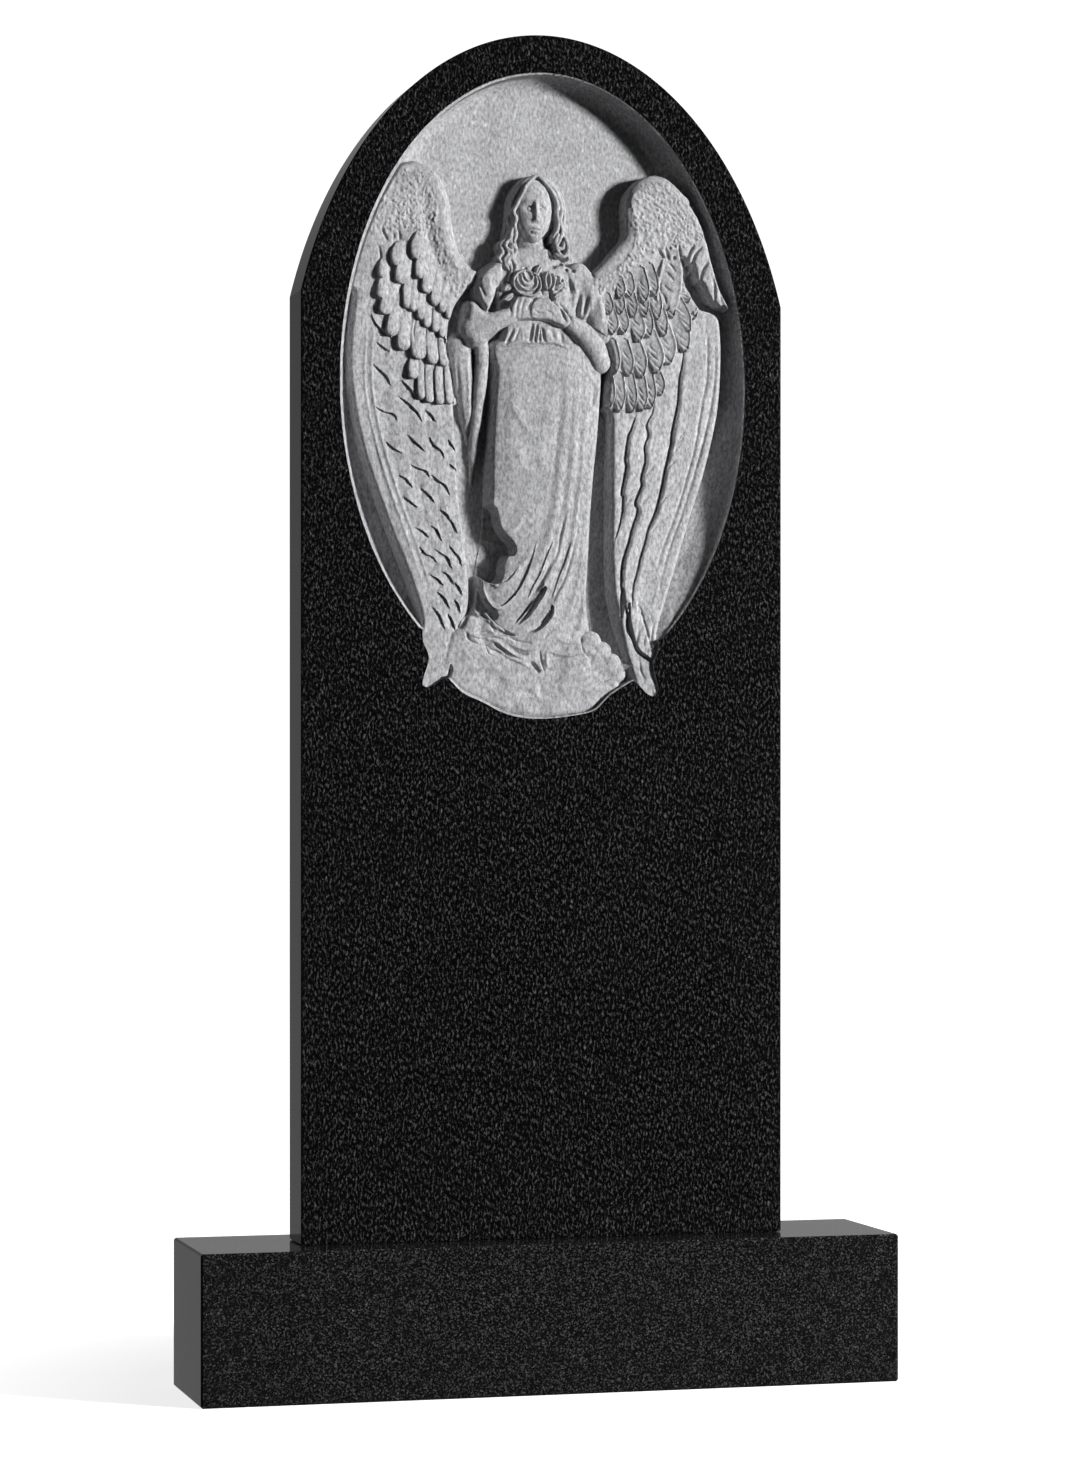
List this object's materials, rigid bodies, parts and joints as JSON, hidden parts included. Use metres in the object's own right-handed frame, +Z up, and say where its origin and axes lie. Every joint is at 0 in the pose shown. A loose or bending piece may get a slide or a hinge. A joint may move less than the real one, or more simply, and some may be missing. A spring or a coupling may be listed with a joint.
{
  "type": "headstone",
  "caption": "Upright granite headstone with an arched top, an angel with folded wings carved in an oval niche, and a low rectangular plinth.",
  "frame": {"origin": "middle of the plinth's underside, on the ground", "axes": "+Z up along the slab's height, +X along the plinth's length to the viewer's right, the carved face looks along -Y"},
  "size_m": [0.718, 0.16, 1.36],
  "materials": {
    "stele": "polished black granite, the carved niche left matt and light grey",
    "plinth": "polished black granite"
  },
  "bodies": {
    "root": {"stele": "stele", "plinth": "plinth"}
  },
  "joints": []
}
